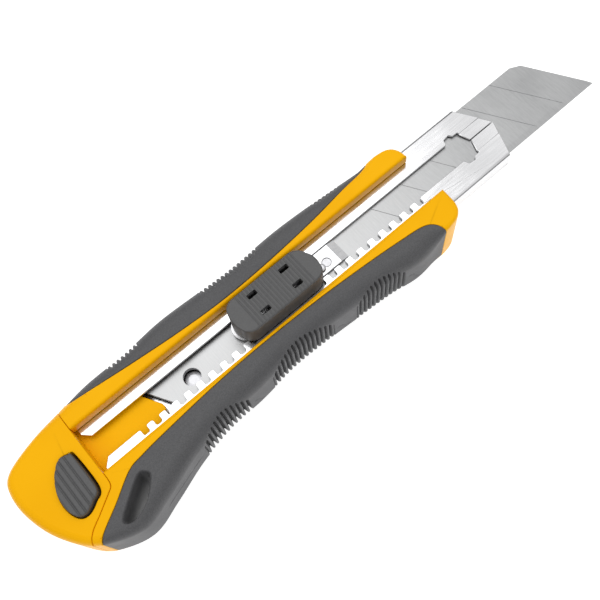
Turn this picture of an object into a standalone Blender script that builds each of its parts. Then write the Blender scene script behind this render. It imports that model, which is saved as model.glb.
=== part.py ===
"""Snap-off knife: moulded handle with soft grips, steel blade channel, toothed-lip slide lock and a latched end cap.

Metres, +Z up. X runs towards the blade tip, Y towards the blade's spine, Z out of the face with the slide button.
The origin is on the flat back of the handle, on the channel's centre line.
"""

import math

import bmesh
import bpy
from mathutils import Vector

# ---- driving dimensions -------------------------------------------------
GAP = 0.0003  # clearance between neighbours
BELOW, ABOVE = -0.0010, 0.0200  # levels under and over the whole knife, for through cuts
OVERLAP = 0.0010  # how far a cutter runs past the face it cuts

HANDLE_THICK = 0.0160
GRIP_INSET = 0.0022  # how far the hard core stands back under the grips
GRIP_FLANGE = 0.0018
NOSE_FILLET, GRIP_FILLET, CAP_FILLET = 0.0009, 0.0034, 0.0020
NOSE_FADE = (0.0340, 0.0410)
CAP_FADE = (-0.0660, -0.0560)
SLOT_HALF = 0.00635
CAVITY_END_X = 0.0500
SEAM_X = -0.0582
FAR_Y = 0.0300  # beyond either side of the handle

BLADE_WIDTH = 0.0180
BLADE_LENGTH = 0.0995
BLADE_THICK = 0.0005
BLADE_TOP = 0.0115
BLADE_TIP_X = 0.0988
BLADE_TAN = math.tan(math.radians(60))
BLADE_DUB = 0.0014  # blunted corner at the spine
BLADE_DUB_RUN = 0.0020
BEVEL_WIDTH = 0.0016
EDGE_THICK = 0.00012
FIRST_SEGMENT = 0.0097
SCORE_PITCH = 0.0102
SCORE_COUNT = 6
SCORE_WIDTH = 0.00030
SCORE_DEPTH = 0.00012
BLADE_HOLE_RADIUS = 0.00225
BLADE_HOLE_FROM_TAIL = 0.0137
BLADE_HOLE_Y = -0.0007
BLADE_PITCH_Z = 0.00085  # one blade and the play above it
SPARE_SHIFT_X = -0.0425
SPARE_COUNT = 2

SHEET = 0.0007
CHANNEL_HALF = 0.0100
CHANNEL_TOP = 0.0125
CHANNEL_BOTTOM = 0.0073
CHANNEL_BEND = 0.0006
CHANNEL_REAR_X = -0.0573
CHANNEL_NOSE_X = 0.0710
NOSE_BACK_UPPER, NOSE_BACK_LOWER = 0.0058, 0.0040  # how far each front corner stands behind the nose
LIP_HALF = 0.0032  # half the opening between the two lips
LIP_CHAMFER = 0.0018
LIP_SEAM = 0.0003
NOTCH_PITCH = 0.0036
NOTCH_WIDTH = 0.0017
NOTCH_FLARE = 0.00035
NOTCH_ROOT_Y = -0.0050
FIRST_NOTCH_X = -0.0455
NOTCH_COUNT = 25
WINDOW_REAR_X = 0.0572
WINDOW_APEX_X = 0.0631

RIVET_X = (0.0380, -0.0295)
RIVET_SHANK = 0.0015
RIVET_HEAD = 0.0032
RIVET_SINK = 0.0016  # depth of the countersunk pocket in the back
RIVET_HEAD_TOP = 0.0013
RIVET_CROWN = 0.0024
RIVET_CROWN_THICK = 0.0005

MAG_SPRING_X = (-0.0230, 0.0300)
MAG_SPRING_WIDTH = 0.0090
MAG_SPRING_THICK = 0.00025
MAG_SPRING_RISE = 0.0006

CARRIER_FRONT_X, CARRIER_REAR_X = 0.0182, -0.0157
CARRIER_REAR_BULGE = 0.0016
WING_X = (-0.0140, -0.0040)
WEB_X = (-0.0138, -0.0056)
WEB_HALF = 0.0026
RAMP_X = 0.0160  # the plate's front is ground down from here
RAMP_DROP = 0.0008
PRONG_REACH_X = 0.00484
PRONG_Y = 0.00255
PRONG_HALF = (0.0010, 0.00034)
PRONG_TOP = 0.0165
STUD_SHANK = 0.0011
STUD_HEAD = 0.0021
KEEPER_THICK = 0.00026
KEEPER_REAR_X, KEEPER_FRONT_X = -0.0060, 0.0088
KEEPER_LOBE_X = 0.0062  # from here the keeper leans towards the toothed lip
KEEPER_HALF = 0.0020
KEEPER_LOBE_HALF, KEEPER_LOBE_Y = 0.0018, -0.0010
KEEPER_RIVET = (0.0110, -0.0011)
KEEPER_RIVET_RADIUS = 0.0005

BUTTON_REAR_X = -0.0150
BUTTON_FRONT_X = 0.0096
BUTTON_HALF = 0.00495
BUTTON_TOP = 0.0192
BUTTON_BASE = 0.01285
BUTTON_MID_X = -0.0022
BUTTON_CORNER = 0.0026
BUTTON_BULGE = 0.0012
BUTTON_HOLLOW = (-0.0134, 0.0080, 0.0036)  # rear, front and half width
BUTTON_CEILING = 0.0176
SOCKET_HALF = (0.0013, 0.00065)
BUTTON_RIB_PITCH = 0.00125
BUTTON_RIB_COUNT = 14
BUTTON_RIB_DEPTH = 0.00032

PAWL_X = -0.0023
PAWL_TIP_HALF, PAWL_ROOT_HALF, PAWL_BODY_HALF = 0.00035, 0.00055, 0.0028
PAWL_BODY_Y = (-0.0027, -0.0003)
PAWL_WINDOW = (0.0031, -0.0040, 0.0019)  # half length, lower and upper side
PAWL_SPRING_Y = 0.0016
PAWL_SPRING_BOW = 0.0014

TONGUE_TOP = 0.0106
TONGUE_ROOT_X = -0.0600
TONGUE_SIDE_CLEAR = 0.0004
TONGUE_NOSE_CLEAR = 0.0013
RECESS_FLOOR = 0.0100
RECESS_SHIFT = (0.00020, -0.00010)
CAP_BUTTON_PROUD = 0.0012
CAP_BUTTON_GAP = 0.00035
CAP_BUTTON_BASE = 0.0118
CAP_RIB_PITCH = 0.0015
CAP_RIB_COUNT = 4
CAP_RIB_DEPTH = 0.0003
CAP_SPRING = (-0.0645, -0.0045)
CAP_SPRING_RADIUS = 0.0019
CAP_SPRING_WIRE = 0.0003
CAP_SPRING_SEAT = 0.0028
CAP_SPRING_LEVELS = (0.0050, 0.0135)  # floors of the two spring seats
HOOK_Y = -0.0115
HOOK_HALF = 0.0006
HOOK_X = (-0.0650, -0.0586)
HOOK_TOOTH_X = -0.0595
HOOK_TOP, HOOK_TOOTH_TOP = 0.0130, 0.0140

# ---- outlines, counter-clockwise from above ------------------------------
SILHOUETTE = [
    (0.0462, -0.0090), (0.0465, -0.0030), (0.0465, 0.0030), (0.0462, 0.0080), (0.0456, 0.0098),
    (0.0445, 0.0110), (0.0428, 0.0117), (0.0394, 0.0121), (0.0330, 0.0126), (0.0200, 0.0137), (0.0080, 0.0142), (-0.0050, 0.0138),
    (-0.0150, 0.0142), (-0.0270, 0.0147), (-0.0380, 0.0139), (-0.0500, 0.0137), (-0.0600, 0.0121),
    (-0.0700, 0.0098),
    (-0.0752, 0.0075), (-0.0770, 0.0040), (-0.0770, -0.0020), (-0.0749, -0.0093), (-0.0706, -0.0162),
    (-0.0659, -0.0196), (-0.0582, -0.0219), (-0.0500, -0.0197), (-0.0400, -0.0165), (-0.0300, -0.0146),
    (-0.0195, -0.0142), (-0.0090, -0.0132), (0.0010, -0.0134), (0.0115, -0.0141), (0.0220, -0.0150),
    (0.0300, -0.0162), (0.0375, -0.0154), (0.0427, -0.0146), (0.0449, -0.0133), (0.0459, -0.0114),
]
UPPER_GRIP_EDGE = [
    (-0.0580, 0.0146), (-0.0550, 0.0119), (-0.0450, 0.0103), (-0.0350, 0.0091), (-0.0250, 0.0081),
    (-0.0130, 0.0074), (0.0, 0.0076), (0.0150, 0.0086), (0.0270, 0.0100), (0.0365, 0.0114), (0.0395, 0.0150),
]
LOWER_GRIP_EDGE = [
    (0.0396, -0.0190), (0.0391, -0.0150), (0.0378, -0.0120), (0.0350, -0.0105), (0.0290, -0.0097), (0.0200, -0.0088),
    (0.0050, -0.00775), (-0.0100, -0.0073), (-0.0250, -0.0075), (-0.0400, -0.0084), (-0.0490, -0.0092),
    (-0.0535, -0.0101), (-0.0600, -0.0140), (-0.0650, -0.0168), (-0.0676, -0.0188), (-0.0700, -0.0225),
]
CAP_SEAM = [
    (SEAM_X, -0.0060), (SEAM_X, -0.0085), (-0.0586, -0.0101), (-0.0600, -0.0111), (-0.0640, -0.0135),
    (-0.0676, -0.0157), (-0.0700, -0.0190), (-0.0725, -0.0250),
]
CAP_BUTTON_OUTLINE = [
    (-0.0610, -0.0084), (-0.0610, 0.0008), (-0.0618, 0.0018), (-0.0634, 0.0023), (-0.0650, 0.0016),
    (-0.0673, -0.0011), (-0.0688, -0.0050), (-0.0688, -0.0084), (-0.0677, -0.0110), (-0.0658, -0.0116),
    (-0.0632, -0.0104),
]
LANYARD_OUTLINE = [
    (-0.0508, -0.0142), (-0.0510, -0.0127), (-0.0526, -0.0122), (-0.0570, -0.0150), (-0.0606, -0.0177),
    (-0.0605, -0.0190), (-0.0583, -0.0194), (-0.0547, -0.0179),
]

PALETTE = {
    "yellow_abs": ((0.95, 0.48, 0.003, 1), 0.35, 0.0),
    "gray_soft": ((0.095, 0.095, 0.10, 1), 0.65, 0.0),
    "gray_hard": ((0.085, 0.085, 0.09, 1), 0.5, 0.0),
    "stainless": ((0.80, 0.81, 0.82, 1), 0.25, 1.0),
    "blade_steel": ((0.56, 0.57, 0.58, 1), 0.35, 1.0),
    "spring_steel": ((0.45, 0.46, 0.48, 1), 0.3, 1.0),
}


# ---- helpers ---------------------------------------------------------------
def material(name):
    found = bpy.data.materials.get(name)
    if found:
        return found
    color, roughness, metallic = PALETTE[name]
    made = bpy.data.materials.new(name)
    made.use_nodes = True
    shader = made.node_tree.nodes["Principled BSDF"]
    shader.inputs["Base Color"].default_value = color
    shader.inputs["Roughness"].default_value = roughness
    shader.inputs["Metallic"].default_value = metallic
    return made


def add_object(name, bm, finish=None, origin=(0, 0, 0)):
    """Turns a bmesh into an object whose origin is at the given point, with outward faces."""
    bmesh.ops.recalc_face_normals(bm, faces=bm.faces)
    bmesh.ops.translate(bm, verts=bm.verts, vec=-Vector(origin))
    mesh = bpy.data.meshes.new(name)
    bm.to_mesh(mesh)
    bm.free()
    made = bpy.data.objects.new(name, mesh)
    made.location = origin
    bpy.context.scene.collection.objects.link(made)
    if finish:
        mesh.materials.append(material(finish))
    else:
        made.hide_render = True
        made.display_type = "WIRE"
    return made


def combine(target, other, operation):
    """Adds a live Boolean; the other object becomes a hidden guide."""
    step = target.modifiers.new(operation.title(), "BOOLEAN")
    step.operation = operation
    step.solver = "EXACT"
    step.object = other
    return target


def cut(target, other):
    return combine(target, other, "DIFFERENCE")


def join(target, other):
    return combine(target, other, "UNION")


def smooth_points(points, steps=4, closed=True):
    """A Catmull-Rom curve through the points."""
    count = len(points)
    spans = count if closed else count - 1
    curve = []
    for i in range(spans):
        around = [(i + k) % count if closed else min(max(i + k, 0), count - 1) for k in (-1, 0, 1, 2)]
        p0, p1, p2, p3 = (Vector(points[k]) for k in around)
        for s in range(steps):
            t = s / steps
            pull = (p2 - p0) * t + (2 * p0 - 5 * p1 + 4 * p2 - p3) * t ** 2
            curve.append(tuple(p1 + 0.5 * (pull + (3 * p1 - p0 - 3 * p2 + p3) * t ** 3)))
    if not closed:
        curve.append(tuple(points[-1]))
    return curve


def inset_points(points, distance):
    """Moves each point of a counter-clockwise outline inwards; distance is a number or one value per point."""
    count = len(points)
    moved = []
    for i, point in enumerate(points):
        depth = distance[i] if isinstance(distance, list) else distance
        before = (Vector(point) - Vector(points[i - 1])).normalized()
        after = (Vector(points[(i + 1) % count]) - Vector(point)).normalized()
        along = (before + after).normalized()
        stretch = depth / max(along.dot(after), 0.5)
        moved.append((point[0] - along.y * stretch, point[1] + along.x * stretch))
    return moved


def skin_rings(rings, bm=None):
    """A closed solid through equal rings of 3D points, capped at both ends and added to bm when one is given."""
    bm = bm or bmesh.new()
    loops = [[bm.verts.new(p) for p in ring] for ring in rings]
    count = len(loops[0])
    for low, high in zip(loops, loops[1:]):
        for i in range(count):
            k = (i + 1) % count
            bm.faces.new((low[i], low[k], high[k], high[i]))
    bm.faces.new(list(reversed(loops[0])))
    bm.faces.new(loops[-1])
    return bm


def prism(name, outline, z0, z1, finish=None, origin=(0, 0, 0)):
    rings = [[(x, y, z) for x, y in outline] for z in (z0, z1)]
    return add_object(name, skin_rings(rings), finish, origin)


def block(name, x0, x1, y0, y1, z0, z1, finish=None, origin=(0, 0, 0)):
    return prism(name, [(x0, y0), (x1, y0), (x1, y1), (x0, y1)], z0, z1, finish, origin)


def circle_points(x, y, radius, count=24):
    turn = 2 * math.pi / count
    return [(x + radius * math.cos(turn * i), y + radius * math.sin(turn * i)) for i in range(count)]


def rounded_slab(name, outline, z0, z1, radii, finish=None, arc_steps=4):
    """An extruded outline whose top and bottom rims are filleted, with a radius for each point."""
    rings = []
    quarter = math.pi / 2
    for i in range(arc_steps + 1):
        turn = quarter * (1 - i / arc_steps)
        flat = inset_points(outline, [r * (1 - math.cos(turn)) for r in radii])
        rings.append([(x, y, z0 + r * (1 - math.sin(turn))) for (x, y), r in zip(flat, radii)])
    for i in range(arc_steps + 1):
        turn = quarter * i / arc_steps
        flat = inset_points(outline, [r * (1 - math.cos(turn)) for r in radii])
        rings.append([(x, y, z1 - r * (1 - math.sin(turn))) for (x, y), r in zip(flat, radii)])
    return add_object(name, skin_rings(rings), finish)


def turned(name, x, y, profile, finish, origin=None, count=20):
    """A solid of revolution about a vertical axis; the profile lists (radius, z) from bottom to top."""
    rings = [[(px, py, z) for px, py in circle_points(x, y, radius, count)] for radius, z in profile]
    return add_object(name, skin_rings(rings), finish, origin or (x, y, profile[0][1]))


def strip(name, path, width, thick, across, finish, origin):
    """A bent flat strip: the path lies in a plane, thick is measured in that plane, width along across."""
    path = [Vector(p) for p in path]
    across = Vector(across).normalized()
    rings = []
    for i, point in enumerate(path):
        ahead = path[min(i + 1, len(path) - 1)] - path[max(i - 1, 0)]
        side = ahead.cross(across).normalized() * thick / 2
        half = across * width / 2
        rings.append([point + side + half, point + side - half, point - side - half, point - side + half])
    return add_object(name, skin_rings(rings), finish, origin)


def coil(name, x, y, z0, z1, radius, wire, turns, finish, per_turn=14, sides=6):
    """A compression spring about a vertical axis."""
    steps = int(turns * per_turn)
    rings = []
    for i in range(steps + 1):
        turn = 2 * math.pi * i / per_turn
        level = z0 + wire + (z1 - z0 - 2 * wire) * i / steps
        outward = Vector((math.cos(turn), math.sin(turn), 0))
        centre = Vector((x, y, level)) + outward * radius
        around = [2 * math.pi * k / sides for k in range(sides)]
        rings.append([centre + outward * wire * math.cos(a) + Vector((0, 0, wire * math.sin(a))) for a in around])
    return add_object(name, skin_rings(rings), finish, (x, y, z0))


def fade(value, low, high):
    t = min(max((value - low) / (high - low), 0), 1)
    return t * t * (3 - 2 * t)


# ---- handle ----------------------------------------------------------------
def rim_radius(x):
    """Rim fillet of the handle: small at the nose, full on the grips, medium on the end cap."""
    front = GRIP_FILLET + (NOSE_FILLET - GRIP_FILLET) * fade(x, *NOSE_FADE)
    return front + (CAP_FILLET - front) * (1 - fade(x, *CAP_FADE))


def handle_solid(name, finish):
    outline = smooth_points(SILHOUETTE)
    return rounded_slab(name, outline, 0, HANDLE_THICK, [rim_radius(x) for x, _ in outline], finish)


def seam_side(shift, far_x):
    """Everything on one side of the end cap's seam."""
    line = [(SEAM_X, FAR_Y)] + smooth_points(CAP_SEAM, closed=False)
    line = [(x + shift, y - shift) for x, y in line]
    far = [(far_x, line[-1][1]), (far_x, line[0][1])]
    return line + far if far_x > SEAM_X else line[::-1] + far[::-1]


def grip_region(edge, side, grow):
    """The outside of a grip's edge; side is +1 for the upper grip and -1 for the lower one."""
    line = [(x, y - side * grow) for x, y in smooth_points(edge, closed=False)]
    return line + [(line[-1][0], side * FAR_Y), (line[0][0], side * FAR_Y)]


def core_solid(name, grow):
    """The hard core under the grips, optionally grown on all sides."""
    silhouette, depth = smooth_points(SILHOUETTE), GRIP_INSET - grow
    outline = []
    for point in inset_points(silhouette, depth):
        nearest = min((Vector(point) - Vector(other)).length for other in silhouette)
        if nearest > depth * 0.95:  # points that crossed over inside a tight corner are left out
            outline.append(point)
    return prism(name, outline, GRIP_FLANGE - grow, HANDLE_THICK - GRIP_FLANGE + grow)


def lanyard_cutter(name):
    return prism(name, smooth_points(LANYARD_OUTLINE), BELOW, ABOVE)


def rivet_places():
    return {"front_rivet": (RIVET_X[0], 0.0), "rear_rivet": (RIVET_X[1], BLADE_HOLE_Y)}


def latch_pocket(name, x0, x1, z0, z1):
    """A clearance pocket around the end cap's latch hook."""
    return block(name, x0, x1, HOOK_Y - HOOK_HALF - GAP, HOOK_Y + HOOK_HALF + GAP, z0, z1)


def make_body():
    body = handle_solid("handle_body", "yellow_abs")
    cut(body, prism("cut_upper_grip", grip_region(UPPER_GRIP_EDGE, 1, GAP / 2), BELOW, ABOVE))
    cut(body, prism("cut_lower_grip", grip_region(LOWER_GRIP_EDGE, -1, GAP / 2), BELOW, ABOVE))
    join(body, core_solid("core", 0))
    cut(body, prism("cut_cap_side", seam_side(GAP / 2, -0.090), BELOW, ABOVE))
    wide = CHANNEL_HALF + GAP
    rear_x = SEAM_X - 4 * OVERLAP
    cut(body, block("cut_cavity", rear_x, CAVITY_END_X, -wide, wide, CHANNEL_BOTTOM - GAP, CHANNEL_TOP + GAP))
    cut(body, block("cut_slot", rear_x, CAVITY_END_X, -SLOT_HALF, SLOT_HALF, CHANNEL_TOP, ABOVE))
    cut(body, lanyard_cutter("cut_body_lanyard"))
    for name, (x, y) in rivet_places().items():
        cut(body, prism("cut_body_" + name, circle_points(x, y, RIVET_SHANK + GAP), BELOW, CHANNEL_BOTTOM + GAP))
        cut(body, prism("cut_sink_" + name, circle_points(x, y, RIVET_HEAD + 0.0004), BELOW, RIVET_SINK))
    cut(body, latch_pocket("cut_latch_low", HOOK_X[0] + OVERLAP, SEAM_X, RECESS_FLOOR, HOOK_TOP + GAP))
    cut(body, latch_pocket("cut_latch_high", HOOK_TOOTH_X - GAP, SEAM_X, HOOK_TOP, HOOK_TOOTH_TOP + GAP))
    return body


def make_grip(name, region):
    grip = handle_solid(name, "gray_soft")
    combine(grip, prism("keep_" + name, region, BELOW, ABOVE), "INTERSECT")
    cut(grip, core_solid("core_for_" + name, GAP))
    return grip


def make_grips():
    make_grip("upper_grip", grip_region(UPPER_GRIP_EDGE, 1, -GAP / 2))
    lower = make_grip("lower_grip", grip_region(LOWER_GRIP_EDGE, -1, -GAP / 2))
    cut(lower, lanyard_cutter("cut_grip_lanyard"))


# ---- steel channel ----------------------------------------------------------
def nose_limit():
    """The V-shaped front of the channel, as a region to keep."""
    beyond = CHANNEL_HALF + OVERLAP
    low_x, high_x = CHANNEL_NOSE_X - NOSE_BACK_LOWER, CHANNEL_NOSE_X - NOSE_BACK_UPPER
    return [
        (CHANNEL_REAR_X, -beyond), (low_x, -beyond), (low_x, -CHANNEL_HALF), (CHANNEL_NOSE_X, 0.0),
        (high_x, CHANNEL_HALF), (high_x, beyond), (CHANNEL_REAR_X, beyond),
    ]


def lip_opening():
    """The opening between the lips, with chamfered ends at the rear and the stepped window at the front."""
    rear, low = CHANNEL_REAR_X, -LIP_HALF
    side = [
        (rear - OVERLAP, low - LIP_CHAMFER), (rear, low - LIP_CHAMFER), (rear + LIP_CHAMFER, low),
        (WINDOW_REAR_X, low), (0.0578, -0.0046), (0.0597, -0.0049), (0.0603, -0.0040), (0.0620, -0.0039),
        (0.0620, -0.0030),
    ]
    return side + [(WINDOW_APEX_X, 0.0)] + [(x, -y) for x, y in reversed(side)]


def make_channel():
    bend = CHANNEL_BEND
    corners = [(-1, -1), (1, -1), (1, 1), (-1, 1)]
    middle, half_height = (CHANNEL_TOP + CHANNEL_BOTTOM) / 2, (CHANNEL_TOP - CHANNEL_BOTTOM) / 2
    outer = []
    for sy, sz in corners:
        upright = (sy * CHANNEL_HALF, middle + sz * (half_height - bend))
        level = (sy * (CHANNEL_HALF - bend), middle + sz * half_height)
        outer += [upright, level] if sy * sz > 0 else [level, upright]
    rings = [[(x, y, z) for y, z in outer] for x in (CHANNEL_REAR_X, CHANNEL_NOSE_X + OVERLAP)]
    channel = add_object("blade_channel", skin_rings(rings), "stainless")
    inner, beyond = CHANNEL_HALF - SHEET, CHANNEL_NOSE_X + 2 * OVERLAP
    under = CHANNEL_TOP - SHEET
    cut(channel, block("cut_channel_inside", CHANNEL_REAR_X - OVERLAP, beyond, -inner, inner,
                       CHANNEL_BOTTOM + SHEET, under))
    combine(channel, prism("keep_nose", nose_limit(), BELOW, ABOVE), "INTERSECT")
    cut(channel, prism("cut_lips", lip_opening(), under - SHEET, ABOVE))
    cut(channel, block("cut_seam", WINDOW_APEX_X - OVERLAP, beyond, 0.0, LIP_SEAM, under - SHEET, ABOVE))
    cut(channel, notches())
    for name, (x, y) in rivet_places().items():
        shank = circle_points(x, y, RIVET_SHANK + GAP, 16)
        cut(channel, prism("cut_channel_" + name, shank, BELOW, CHANNEL_BOTTOM + SHEET + OVERLAP))
    return channel


def notches():
    """The row of locking notches in the lower lip, with rounded tooth tips."""
    bm = bmesh.new()
    half = NOTCH_WIDTH / 2
    wide = half + NOTCH_FLARE
    side = [(half, NOTCH_ROOT_Y), (half, -LIP_HALF - NOTCH_FLARE), (wide, -LIP_HALF), (wide, -LIP_HALF + OVERLAP)]
    outline = side + [(-dx, y) for dx, y in reversed(side)]
    for i in range(NOTCH_COUNT):
        x = FIRST_NOTCH_X + NOTCH_PITCH * i
        levels = (CHANNEL_TOP - 2 * SHEET, CHANNEL_TOP + OVERLAP)
        skin_rings([[(x + dx, y, z) for dx, y in outline] for z in levels], bm)
    return add_object("cut_notches", bm)


def make_rivets():
    """Two flat rivets that hold the channel down in the handle, with their shop heads in the back."""
    shank_top = CHANNEL_BOTTOM + SHEET + 0.00005
    edge = RIVET_CROWN_THICK * 0.8
    profile = [
        (RIVET_HEAD - edge, RIVET_HEAD_TOP - 0.0009), (RIVET_HEAD, RIVET_HEAD_TOP - 0.0006),
        (RIVET_HEAD, RIVET_HEAD_TOP), (RIVET_SHANK, RIVET_HEAD_TOP), (RIVET_SHANK, shank_top),
        (RIVET_CROWN, shank_top), (RIVET_CROWN - GAP, shank_top + edge),
        (RIVET_CROWN / 2, shank_top + RIVET_CROWN_THICK),
    ]
    for name, (x, y) in rivet_places().items():
        turned(name, x, y, profile, "spring_steel")


# ---- blades -------------------------------------------------------------------
def blade_outline(tip_x):
    half = BLADE_WIDTH / 2
    lean = BLADE_WIDTH / BLADE_TAN
    tail_x = tip_x - BLADE_LENGTH
    return [
        (tail_x + lean, -half), (tip_x, -half), (tip_x - lean + BLADE_DUB / BLADE_TAN, half - BLADE_DUB),
        (tip_x - lean - BLADE_DUB_RUN, half), (tail_x, half),
    ]


def make_blade(name, tip_x, top_z):
    """A parallelogram blade with a ground edge, score lines across its top face and a tail hole."""
    half = BLADE_WIDTH / 2
    bottom_z = top_z - BLADE_THICK
    blade = prism(name, blade_outline(tip_x), bottom_z, top_z, "blade_steel", (tip_x, -half, bottom_z))
    slope = (BLADE_THICK - EDGE_THICK) / 2 / BEVEL_WIDTH
    inside, outside = BEVEL_WIDTH - half, -half - OVERLAP
    for side, sign in ((top_z, 1), (bottom_z, -1)):
        clear = side + sign * OVERLAP
        low = side - sign * slope * (inside - outside)
        section = [(inside, side), (outside, low), (outside, clear), (inside, clear)]
        ends = (tip_x - BLADE_LENGTH - OVERLAP, tip_x + OVERLAP)
        bevel = skin_rings([[(x, y, z) for y, z in section] for x in ends])
        cut(blade, add_object(f"cut_{name}_bevel_{sign}", bevel))
    cut(blade, score_cutter("cut_scores_" + name, tip_x, top_z))
    hole_x = tip_x - BLADE_LENGTH + BLADE_HOLE_FROM_TAIL
    hole = circle_points(hole_x, BLADE_HOLE_Y, BLADE_HOLE_RADIUS, 28)
    cut(blade, prism("cut_hole_" + name, hole, bottom_z - OVERLAP, top_z + OVERLAP))
    return blade


def score_cutter(name, tip_x, top_z):
    bm = bmesh.new()
    reach = BLADE_WIDTH / 2 + OVERLAP
    section = [(-SCORE_WIDTH, SCORE_WIDTH), (0.0, -SCORE_DEPTH), (SCORE_WIDTH, SCORE_WIDTH)]
    for i in range(SCORE_COUNT):
        x = tip_x - FIRST_SEGMENT - SCORE_PITCH * i
        rings = []
        for y in (-reach, reach):
            lean = (y + BLADE_WIDTH / 2) / BLADE_TAN
            rings.append([(x + dx - lean, y, top_z + dz) for dx, dz in section])
        skin_rings(rings, bm)
    return add_object(name, bm)


def make_blades():
    make_blade("cutting_blade", BLADE_TIP_X, BLADE_TOP)
    for i in range(1, SPARE_COUNT + 1):
        make_blade(f"spare_blade_{i}", BLADE_TIP_X + SPARE_SHIFT_X, BLADE_TOP - BLADE_PITCH_Z * i)


def make_magazine_spring():
    """A bowed leaf under the spare blades that lifts them to the lips."""
    start_x, end_x = MAG_SPRING_X
    low = CHANNEL_BOTTOM + SHEET + GAP
    steps = 24
    path = []
    for i in range(steps + 1):
        t = i / steps
        path.append((start_x + (end_x - start_x) * t, 0.0, low + MAG_SPRING_RISE * math.sin(2 * math.pi * t) ** 2))
    strip("magazine_spring", path, MAG_SPRING_WIDTH, MAG_SPRING_THICK, (0, 1, 0), "spring_steel", (0, 0, low))


# ---- carriage -------------------------------------------------------------------
def arc_end(x, half, bulge, count, direction):
    """Points of a shallow circular end, from -half to +half when direction is +1 and back when it is -1."""
    radius = (half * half + bulge * bulge) / (2 * bulge)
    spread = math.asin(half / radius)
    turns = [spread * (2 * i / count - 1) for i in range(count + 1)]
    centre = x - direction * radius
    return [(centre + direction * radius * math.cos(t), direction * radius * math.sin(t)) for t in turns]


def prong_places():
    """The four upright prongs that hold the slide button: a tag and a place for each."""
    places = {}
    for end, sx in (("f", 1), ("r", -1)):
        for side, sy in (("u", 1), ("l", -1)):
            places[end + side] = (BUTTON_MID_X + sx * PRONG_REACH_X, sy * PRONG_Y)
    return places


def stud_x():
    return BLADE_TIP_X - BLADE_LENGTH + BLADE_HOLE_FROM_TAIL


def make_carrier():
    """A steel plate between the lips, with wings under them, prongs for the button and a window for the pawl."""
    plate_half = LIP_HALF - GAP
    top, under = CHANNEL_TOP, CHANNEL_TOP - SHEET
    rear = arc_end(CARRIER_REAR_X, plate_half, CARRIER_REAR_BULGE, 8, -1)
    outline = [(CARRIER_FRONT_X, -plate_half), (CARRIER_FRONT_X, plate_half)] + rear
    carrier = prism("blade_carrier", outline, under, top, "stainless", (BUTTON_MID_X, 0, under))
    wing_half = CHANNEL_HALF - SHEET - GAP
    blend = SHEET / 3
    join(carrier, block("wings", *WING_X, -wing_half, wing_half, BLADE_TOP - BLADE_THICK, under - GAP))
    join(carrier, block("wing_web", *WEB_X, -WEB_HALF, WEB_HALF, BLADE_TOP - blend, under + blend))
    long_half, short_half = PRONG_HALF
    for tag, (x, y) in prong_places().items():
        join(carrier, block("prong_" + tag, x - long_half, x + long_half, y - short_half, y + short_half,
                            top - blend, PRONG_TOP))
    reach, low_y, high_y = PAWL_WINDOW
    cut(carrier, block("cut_pawl_window", PAWL_X - reach, PAWL_X + reach, low_y, high_y, under - blend / 2, top + GAP))
    end_x = CARRIER_FRONT_X + OVERLAP
    ramp = [(RAMP_X, top + GAP), (RAMP_X, top), (end_x, top - RAMP_DROP), (end_x, top + GAP)]
    cut(carrier, add_object("cut_ramp", skin_rings([[(x, y, z) for x, z in ramp] for y in (-LIP_HALF, LIP_HALF)])))
    stud_hole = circle_points(stud_x(), BLADE_HOLE_Y, STUD_SHANK + 0.0002, 16)
    cut(carrier, prism("cut_stud_hole", stud_hole, under - OVERLAP, top + OVERLAP))
    cut(carrier, prism("cut_keeper_hole", keeper_rivet_hole(), under - OVERLAP, top + OVERLAP))
    return carrier


def keeper_rivet_hole():
    return circle_points(*KEEPER_RIVET, KEEPER_RIVET_RADIUS + 0.0002, 12)


def make_carriage_hardware():
    """The stud that carries the cutting blade, the spring-steel keeper over the pawl, and the keeper's rivet."""
    low, under = BLADE_TOP - BLADE_THICK, CHANNEL_TOP - SHEET
    slack = 0.00005
    stud = [
        (STUD_HEAD - 0.0002, low - 2 * slack), (STUD_HEAD, low + 2 * slack), (STUD_HEAD, under - slack),
        (STUD_SHANK, under - slack), (STUD_SHANK, CHANNEL_TOP - 2 * slack),
    ]
    turned("blade_stud", stud_x(), BLADE_HOLE_Y, stud, "spring_steel")
    keeper_low = CHANNEL_TOP + 1.6 * slack
    keeper_high = keeper_low + KEEPER_THICK
    lobe, mid_y = KEEPER_LOBE_HALF, KEEPER_LOBE_Y
    turns = [math.pi * (i / 14 - 0.5) for i in range(15)]
    front = [(KEEPER_FRONT_X + lobe * math.cos(t), mid_y + lobe * math.sin(t)) for t in turns]
    outline = [(KEEPER_REAR_X, -KEEPER_HALF), (KEEPER_LOBE_X - KEEPER_HALF, -KEEPER_HALF), (KEEPER_LOBE_X, mid_y - lobe)]
    outline += front + [(KEEPER_FRONT_X - OVERLAP, KEEPER_HALF), (KEEPER_REAR_X, KEEPER_HALF)]
    keeper = prism("pawl_keeper", outline, keeper_low, keeper_high, "spring_steel", (PAWL_X, 0, keeper_low))
    cut(keeper, prism("cut_keeper_rivet", keeper_rivet_hole(), CHANNEL_TOP - OVERLAP, CHANNEL_TOP + OVERLAP))
    radius = KEEPER_RIVET_RADIUS
    rivet = [
        (radius, under + 2 * slack), (radius, keeper_high + slack), (2.2 * radius, keeper_high + slack),
        (2 * radius, keeper_high + GAP), (1.2 * radius, keeper_high + GAP + 2 * slack),
    ]
    turned("keeper_rivet", *KEEPER_RIVET, rivet, "spring_steel", count=14)


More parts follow.
